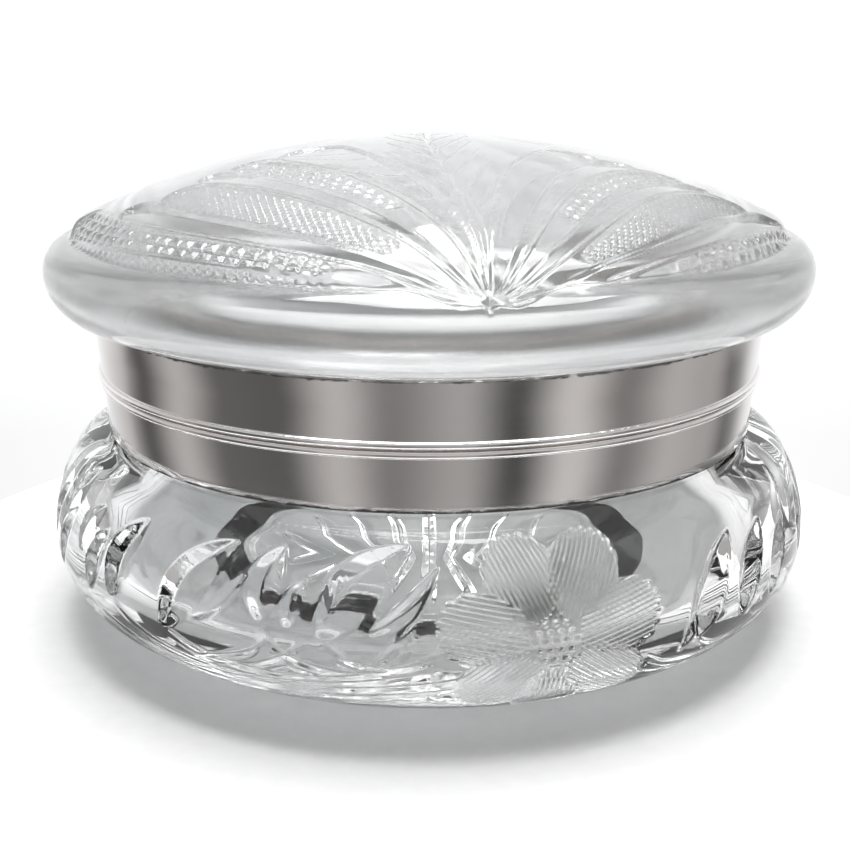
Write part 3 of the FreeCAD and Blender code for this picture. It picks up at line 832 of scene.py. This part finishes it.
def bead(name, node, outer_wall):
    """The half-round wire along a band's edge, open at the back where the hinge leaf lies."""
    low, high = box_mm(node)
    middle = (low[2] + high[2]) / 2
    half = (high[2] - low[2]) / 2 - 0.01
    notch = math.degrees(math.asin(16.1 / outer_wall))
    turn = np.radians(np.linspace(-180 + notch, 180 - notch, 700))
    section = []
    proud = high[0] - outer_wall + 0.04
    for swing in np.radians(np.linspace(-90, 90, 13)):
        reach = outer_wall - 0.05 + proud * math.cos(swing)
        section.append((reach, middle + half * math.sin(swing)))
    section.append((outer_wall - 0.1, middle + half))
    section.append((outer_wall - 0.1, middle - half))
    section = np.array(section)
    radius, height = section[:, :1], section[:, 1:]
    tool = 0.012 * np.sin(turn * 97) * np.sin(turn * 31 + 1)
    points = np.stack([(radius + tool) * np.sin(turn), -(radius + tool) * np.cos(turn),
                       np.repeat(height, len(turn), axis=1)], axis=-1)
    rows, columns = points.shape[:2]
    quads = list(grid_quads(rows, columns, False))
    for k in range(columns - 1):
        quads.append(((rows - 1) * columns + k, (rows - 1) * columns + k + 1, k + 1, k))
    middle_count = rows * columns
    ends = [points[:, 0].mean(axis=0), points[:, -1].mean(axis=0)]
    triangles = []
    for end, column in ((0, 0), (1, columns - 1)):
        for k in range(rows):
            a, b = k * columns + column, ((k + 1) % rows) * columns + column
            triangles.append((a, b, middle_count + end))
    return outward(add_mesh(name, np.vstack([points.reshape(-1, 3), ends]), quads, triangles))


def softened(name, node, width):
    """A copy of a CAD piece with its edges rounded over."""
    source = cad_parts[node]
    mesh = source.data.copy()
    mesh.name = name
    obj = bpy.data.objects.new(name, mesh)
    bpy.context.collection.objects.link(obj)
    work = bmesh.new()
    work.from_mesh(mesh)
    bmesh.ops.remove_doubles(work, verts=work.verts, dist=1e-6)
    bmesh.ops.dissolve_limit(work, angle_limit=math.radians(1.0), verts=work.verts, edges=work.edges)
    work.to_mesh(mesh)
    work.free()
    bevel = obj.modifiers.new("edges", "BEVEL")
    bevel.width = width * MM
    bevel.segments = 2
    bevel.limit_method = "ANGLE"
    bevel.angle_limit = math.radians(35)
    bevel.harden_normals = True
    mesh.polygons.foreach_set("use_smooth", np.full(len(mesh.polygons), True))
    return obj


# --- Materials ------------------------------------------------------------------------------------


class Nodes:
    """Short calls for building a material's nodes."""

    def __init__(self, name):
        self.material = bpy.data.materials.new(name)
        self.material.use_nodes = True
        self.tree = self.material.node_tree
        self.shader = self.tree.nodes["Principled BSDF"]

    def add(self, kind):
        return self.tree.nodes.new(kind)

    def link(self, out, into):
        self.tree.links.new(out, into)

    def noise(self, scale, detail, roughness, vector):
        node = self.add("ShaderNodeTexNoise")
        node.inputs["Scale"].default_value = scale
        node.inputs["Detail"].default_value = detail
        node.inputs["Roughness"].default_value = roughness
        self.link(vector, node.inputs["Vector"])
        return node.outputs["Fac"]

    def place(self, scale=(1, 1, 1)):
        spot = self.add("ShaderNodeTexCoord")
        stretch = self.add("ShaderNodeMapping")
        stretch.inputs["Scale"].default_value = scale
        self.link(spot.outputs["Object"], stretch.inputs["Vector"])
        return stretch.outputs["Vector"]

    def span(self, value, from_low, from_high, to_low, to_high):
        node = self.add("ShaderNodeMapRange")
        node.inputs["From Min"].default_value = from_low
        node.inputs["From Max"].default_value = from_high
        node.inputs["To Min"].default_value = to_low
        node.inputs["To Max"].default_value = to_high
        self.link(value, node.inputs["Value"])
        return node.outputs["Result"]

    def ramp(self, value, stops):
        node = self.add("ShaderNodeValToRGB")
        elements = node.color_ramp.elements
        while len(elements) < len(stops):
            elements.new(0.5)
        for element, (position, colour) in zip(elements, stops):
            element.position = position
            element.color = (*colour, 1.0)
        self.link(value, node.inputs["Fac"])
        return node.outputs["Color"]

    def math(self, kind, a, b):
        node = self.add("ShaderNodeMath")
        node.operation = kind
        for socket, item in zip(node.inputs, (a, b)):
            if isinstance(item, (int, float)):
                socket.default_value = item
            else:
                self.link(item, socket)
        return node.outputs["Value"]

    def bump(self, height, strength, distance):
        node = self.add("ShaderNodeBump")
        node.inputs["Strength"].default_value = strength
        node.inputs["Distance"].default_value = distance
        self.link(height, node.inputs["Height"])
        self.link(node.outputs["Normal"], self.shader.inputs["Normal"])


def glass_material(name, frost, clear):
    """Glass whose cut places are frosted; clear is how much light its surface lets through."""
    n = Nodes(name)
    s = n.shader.inputs
    s["Transmission Weight"].default_value = 1.0
    s["IOR"].default_value = 1.54
    s["Specular IOR Level"].default_value = 0.5
    cloud = n.noise(14.0, 2.0, 0.5, n.place())
    tint = n.ramp(cloud, [
        (0.3, (clear - 0.015, clear, clear + 0.005)),
        (0.7, (clear + 0.02, clear + 0.02, clear + 0.015)),
    ])
    n.link(tint, s["Base Color"])
    mark = n.add("ShaderNodeAttribute")
    mark.attribute_name = "cut"
    rub = n.noise(900.0, 3.0, 0.6, n.place())
    worn = n.span(rub, 0.3, 0.7, 0.004, 0.02)
    rough = n.math("ADD", worn, n.math("MULTIPLY", mark.outputs["Fac"], frost))
    n.link(rough, s["Roughness"])
    ripple = n.noise(55.0, 2.0, 0.4, n.place())
    n.bump(ripple, 0.25, 0.0006)
    return n.material


def silver_material(name, painted_reflection_strength, level_low, level_high):
    """Silver plate with pits, and a dark reflection painted along the edges at the two levels, in
    metres.
    """
    n = Nodes(name)
    s = n.shader.inputs
    s["Metallic"].default_value = 1.0
    cloud = n.noise(26.0, 5.0, 0.6, n.place())
    streak = n.noise(1.0, 5.0, 0.6, n.place((30, 30, 900)))
    spots = n.noise(420.0, 4.0, 0.65, n.place())
    base = n.ramp(cloud, [(0.3, (0.86, 0.825, 0.81)), (0.7, (0.93, 0.915, 0.905))])
    spot = n.add("ShaderNodeTexCoord")
    split = n.add("ShaderNodeSeparateXYZ")
    n.link(spot.outputs["Object"], split.inputs["Vector"])
    # Painted dark reflection: the colour goes near black in a ragged band along the edge at each
    # level.
    above = n.span(split.outputs["Z"], level_high - 0.0008, level_high - 0.0001, 0.0, 1.0)
    below = n.span(split.outputs["Z"], level_low + 0.0010, level_low + 0.0002, 0.0, 1.0)
    edge = n.math("MAXIMUM", above, below)
    ragged = n.math("ADD", edge, n.span(spots, 0.35, 0.7, -0.35, 0.35))
    painted_reflection = n.span(ragged, 0.45, 0.8, 0.0, painted_reflection_strength)
    pits = n.span(spots, 0.735, 0.775, 0.0, 0.8)
    pits_and_painted_reflection = n.math("MAXIMUM", painted_reflection, pits)
    # The near-black colour is shared by the real pits and the painted dark reflection.
    mix = n.add("ShaderNodeMix")
    mix.data_type = "RGBA"
    n.link(pits_and_painted_reflection, mix.inputs[0])
    n.link(base, mix.inputs[6])
    mix.inputs[7].default_value = (0.05, 0.042, 0.038, 1.0)
    n.link(mix.outputs[2], s["Base Color"])
    smear = n.span(cloud, 0.3, 0.7, 0.05, 0.11)
    rough = n.math("ADD", smear, n.span(streak, 0.3, 0.7, 0.0, 0.04))
    rough = n.math("ADD", rough, n.math("MULTIPLY", pits_and_painted_reflection, 0.35))
    n.link(rough, s["Roughness"])
    lines = n.math("ADD", n.math("MULTIPLY", streak, 0.5), n.math("MULTIPLY", spots, 0.35))
    n.bump(lines, 0.12, 0.0001)
    return n.material


def steel_material(name):
    n = Nodes(name)
    s = n.shader.inputs
    s["Metallic"].default_value = 1.0
    grain = n.noise(1.0, 4.0, 0.6, n.place((900, 60, 60)))
    n.link(n.ramp(grain, [(0.3, (0.52, 0.51, 0.50)), (0.7, (0.68, 0.67, 0.66))]), s["Base Color"])
    n.link(n.span(grain, 0.3, 0.7, 0.22, 0.38), s["Roughness"])
    n.bump(grain, 0.2, 0.0001)
    return n.material


def plaster_material(name):
    n = Nodes(name)
    s = n.shader.inputs
    grit = n.noise(700.0, 6.0, 0.7, n.place())
    n.link(n.ramp(grit, [(0.3, (0.58, 0.565, 0.54)), (0.7, (0.80, 0.79, 0.77))]), s["Base Color"])
    s["Roughness"].default_value = 0.9
    n.bump(grit, 0.5, 0.0003)
    return n.material


def floor_material(name):
    n = Nodes(name)
    s = n.shader.inputs
    grit = n.noise(300.0, 3.0, 0.5, n.place())
    n.link(n.ramp(grit, [(0.3, (0.90, 0.90, 0.90)), (0.7, (0.93, 0.93, 0.93))]), s["Base Color"])
    s["Roughness"].default_value = 0.75
    return n.material


def paint(obj, material):
    obj.data.materials.clear()
    obj.data.materials.append(material)


# --- Assembly -------------------------------------------------------------------------------------

lid_glass = build_lid()
bowl_glass = build_bowl()
paint(lid_glass, glass_material("cut_glass_lid", 0.16, 0.925))
paint(bowl_glass, glass_material("cut_glass_bowl", 0.07, 0.955))
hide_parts("glass_lid")
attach(lid_glass, "lid")
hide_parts("glass_bowl")
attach(bowl_glass, "jar")

metal = build_metal()
metal["lower_edge_wire"] = bead("lower_bead", "lower_edge_wire", lower_high[0])
metal["upper_edge_wire"] = bead("upper_bead", "upper_edge_wire", upper_high[0] - 0.8)
# The two bands get the painted dark reflection at their outer edges; the small parts get none.
lower_silver = silver_material("silver_plate_lower", 0.9, lower_low[2] * MM, 1.0)
upper_silver = silver_material("silver_plate_upper", 0.9, 0.0, upper_high[2] * MM)
plain_silver = silver_material("silver_plate_small", 0.0, 0.0, 1.0)
plaster = plaster_material("setting_plaster")
for node, obj in metal.items():
    body = "lid" if node.startswith("upper") else "jar"
    if node.endswith("cement"):
        finish, slot = plaster, "plaster_cement"
    elif node == "lower_band":
        finish, slot = lower_silver, "silver_plate"
    elif node == "upper_band":
        finish, slot = upper_silver, "silver_plate"
    else:
        finish, slot = plain_silver, "silver_plate"
    paint(obj, finish)
    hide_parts(node)
    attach(obj, body)

steel = steel_material("hinge_pin_steel")
for node in ("lower_hinge_leaf", "upper_hinge_leaf", "lower_knuckle_left", "lower_knuckle_centre",
             "lower_knuckle_right", "upper_knuckle_left", "upper_knuckle_right", "hinge_pin"):
    obj = softened(f"{node}_soft", node, 0.12)
    is_pin = node == "hinge_pin"
    paint(obj, steel if is_pin else plain_silver)
    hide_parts(node)
    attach(obj, "lid" if node.startswith("upper") else "jar")

# --- Plinth, light and camera ---------------------------------------------------------------------

plinth = lathe("plinth", [
    (0.5, 0.0), (40.0, 0.0), (80.0, 0.0), (109.0, 0.0), (110.2, -0.3), (111.0, -1.0), (111.4, -2.0),
    (111.4, -11.0), (110.4, -12.0), (80.0, -12.0), (0.5, -12.0),
], 256)
outward(plinth)
paint(plinth, floor_material("pale_floor"))


def build_world():
    """A pale studio with soft upright bars in front, for the bands to reflect."""
    world = bpy.data.worlds.new("studio")
    bpy.context.scene.world = world
    world.use_nodes = True
    tree = world.node_tree
    background = tree.nodes["Background"]

    def add(kind):
        return tree.nodes.new(kind)

    def math_node(kind, a, b=0.0, clamp=False):
        node = add("ShaderNodeMath")
        node.operation = kind
        node.use_clamp = clamp
        for socket, item in zip(node.inputs, (a, b)):
            if isinstance(item, (int, float)):
                socket.default_value = item
            else:
                tree.links.new(item, socket)
        return node.outputs["Value"]

    spot = add("ShaderNodeTexCoord")
    split = add("ShaderNodeSeparateXYZ")
    tree.links.new(spot.outputs["Generated"], split.inputs["Vector"])
    x, y, z = (split.outputs[key] for key in "XYZ")
    # Turn round the jar: 0.5 is the front, and 0 and 1 are both the back.
    side = math_node("DIVIDE", math_node("ARCTAN2", x, math_node("MULTIPLY", y, -1.0)), math.pi)
    share = math_node("ADD", math_node("MULTIPLY", side, 0.5), 0.5)
    ramp = add("ShaderNodeValToRGB")
    tree.links.new(share, ramp.inputs["Fac"])
    ramp.color_ramp.interpolation = "EASE"
    stops = [
        (0.00, 1.05), (0.09, 0.46), (0.14, 0.44), (0.19, 0.10), (0.245, 0.46), (0.30, 0.12),
        (0.36, 0.10), (0.415, 0.48), (0.465, 0.20), (0.53, 0.36), (0.58, 0.07), (0.635, 0.56),
        (0.69, 0.20), (0.75, 0.44), (0.80, 0.38), (0.86, 0.07), (0.915, 0.62), (1.00, 1.05),
    ]
    elements = ramp.color_ramp.elements
    while len(elements) < len(stops):
        elements.new(0.5)
    for element, (position, grey) in zip(elements, stops):
        element.position = position
        element.color = (grey * 1.02, grey * 0.995, grey * 0.985, 1.0)
    # Behind the jar, and a little above it all round, the room is bright.
    lift = math_node("MULTIPLY", math_node("SUBTRACT", z, 0.10), 1.9, clamp=True)
    level = math_node("MULTIPLY", math_node("ADD", z, 0.28), 3.2, clamp=True)
    turned = math_node("ADD", y, math_node("SUBTRACT", math_node("MULTIPLY", level, 0.57), 0.5))
    behind = math_node("MULTIPLY", turned, 1.8, clamp=True)
    bright = math_node("MAXIMUM", lift, behind)
    mix = add("ShaderNodeMix")
    mix.data_type = "RGBA"
    tree.links.new(bright, mix.inputs[0])
    tree.links.new(ramp.outputs["Color"], mix.inputs[6])
    mix.inputs[7].default_value = (1.04, 1.045, 1.055, 1.0)
    # Overhead it falls off again, so that the cut facets have something darker to show.
    high = math_node("MULTIPLY", math_node("SUBTRACT", z, 0.10), 2.0, clamp=True)
    cap = add("ShaderNodeMix")
    cap.data_type = "RGBA"
    tree.links.new(high, cap.inputs[0])
    tree.links.new(mix.outputs[2], cap.inputs[6])
    cap.inputs[7].default_value = (0.50, 0.50, 0.505, 1.0)
    tree.links.new(cap.outputs[2], background.inputs["Color"])
    background.inputs["Strength"].default_value = 1.0


def area(name, place, target, size, power):
    light = bpy.data.lights.new(name, "AREA")
    light.shape = "RECTANGLE"
    light.size, light.size_y = size
    light.energy = power
    obj = bpy.data.objects.new(name, light)
    obj.location = place
    obj.rotation_euler = (Vector(target) - Vector(place)).to_track_quat("-Z", "Y").to_euler()
    bpy.context.collection.objects.link(obj)


build_world()
area("top_softbox", (0.03, 0.05, 0.85), (0, 0, 0.03), (0.62, 0.55), 9.5)

camera_data = bpy.data.cameras.new("camera")
camera_data.sensor_width = 36.0
camera_data.lens = 55.06
camera_data.clip_start = 0.01
camera = bpy.data.objects.new("camera", camera_data)
camera.location = (-0.00072, -0.240, SEAM * MM + 0.05712)
camera.rotation_euler = Euler((math.radians(90 - 16.47), 0, 0))
bpy.context.collection.objects.link(camera)
bpy.context.scene.camera = camera
bpy.context.scene.view_settings.view_transform = "Standard"
# Light crosses many walls of this glass before it gets out.
bpy.context.scene.cycles.max_bounces = 28
bpy.context.scene.cycles.glossy_bounces = 12
bpy.context.scene.cycles.transmission_bounces = 24
